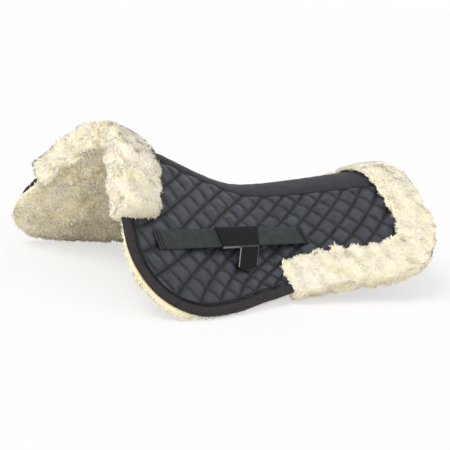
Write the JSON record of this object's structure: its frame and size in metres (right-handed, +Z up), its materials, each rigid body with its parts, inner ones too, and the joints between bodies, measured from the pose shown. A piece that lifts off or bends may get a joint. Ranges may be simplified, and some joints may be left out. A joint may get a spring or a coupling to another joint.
{
  "type": "saddle half pad",
  "caption": "Quilted half pad for under a saddle: two padded panels joined along a curved spine, fleece lining and rolls, webbing billet straps with sliding hook-and-loop tabs.",
  "frame": {"origin": "on the floor, under the middle of the whole pad", "axes": "+X along the spine from the pommel roll to the cantle roll, +Y to the right half, +Z up"},
  "size_m": [0.6118, 0.4208, 0.2337],
  "materials": {
    "quilted_cotton": "quilted cotton twill, dark grey",
    "wadding": "white fibre wadding, hidden",
    "fleece": "cream sheepskin fleece",
    "binding_tape": "folded woven tape, near black",
    "piping_cord": "black piping cord",
    "webbing": "woven webbing, charcoal",
    "thread": "bar-tacked sewing thread",
    "tab_webbing": "folded tape, near black",
    "hook_and_loop": "black hook-and-loop tape",
    "spine_tape": "smooth woven tape, dark grey"
  },
  "bodies": {
    "left_half": {"left_outer_panel": "quilted_cotton", "left_wadding": "wadding", "left_fleece_lining": "fleece", "left_front_roll": "fleece", "left_rear_roll": "fleece", "left_lower_binding": "binding_tape", "left_edge_piping": "piping_cord", "left_billet_strap": "webbing", "left_strap_tacks": "thread", "left_loop_patch": "hook_and_loop", "spine_tape": "spine_tape", "spine_lining_strip": "fleece", "front_roll_crown": "fleece", "rear_roll_crown": "fleece"},
    "left_keeper": {"left_keeper_sleeve": "tab_webbing"},
    "left_tab": {"left_tab_flap": "tab_webbing", "left_hook_patch": "hook_and_loop"},
    "right_half": {"right_outer_panel": "quilted_cotton", "right_wadding": "wadding", "right_fleece_lining": "fleece", "right_front_roll": "fleece", "right_rear_roll": "fleece", "right_lower_binding": "binding_tape", "right_edge_piping": "piping_cord", "right_billet_strap": "webbing", "right_strap_tacks": "thread", "right_loop_patch": "hook_and_loop"},
    "right_keeper": {"right_keeper_sleeve": "tab_webbing"},
    "right_tab": {"right_tab_flap": "tab_webbing", "right_hook_patch": "hook_and_loop"}
  },
  "joints": [
    {"name": "spine_fold", "type": "hinge", "parent": "left_half", "child": "right_half", "pos_m": [0, 0, 0.15748], "axis": [0.9949, 0, -0.1005], "range_deg": [-25, 15], "deforming": ["spine_tape", "spine_lining_strip", "front_roll_crown", "rear_roll_crown"]},
    {"name": "left_keeper_slide", "type": "slide", "parent": "left_half", "child": "left_keeper", "axis": [0.9908, 0.1313, -0.0339], "range_m": [-0.045, 0.035]},
    {"name": "left_tab_fold", "type": "hinge", "parent": "left_keeper", "child": "left_tab", "pos_m": [-0.07405, -0.13424, 0.08092], "axis": [-0.9908, -0.1313, 0.0339], "range_deg": [0, 150]},
    {"name": "right_keeper_slide", "type": "slide", "parent": "right_half", "child": "right_keeper", "axis": [0.9908, -0.1313, -0.0339], "range_m": [-0.045, 0.035]},
    {"name": "right_tab_fold", "type": "hinge", "parent": "right_keeper", "child": "right_tab", "pos_m": [-0.07405, 0.13424, 0.08092], "axis": [0.9908, -0.1313, -0.0339], "range_deg": [0, 150]}
  ]
}
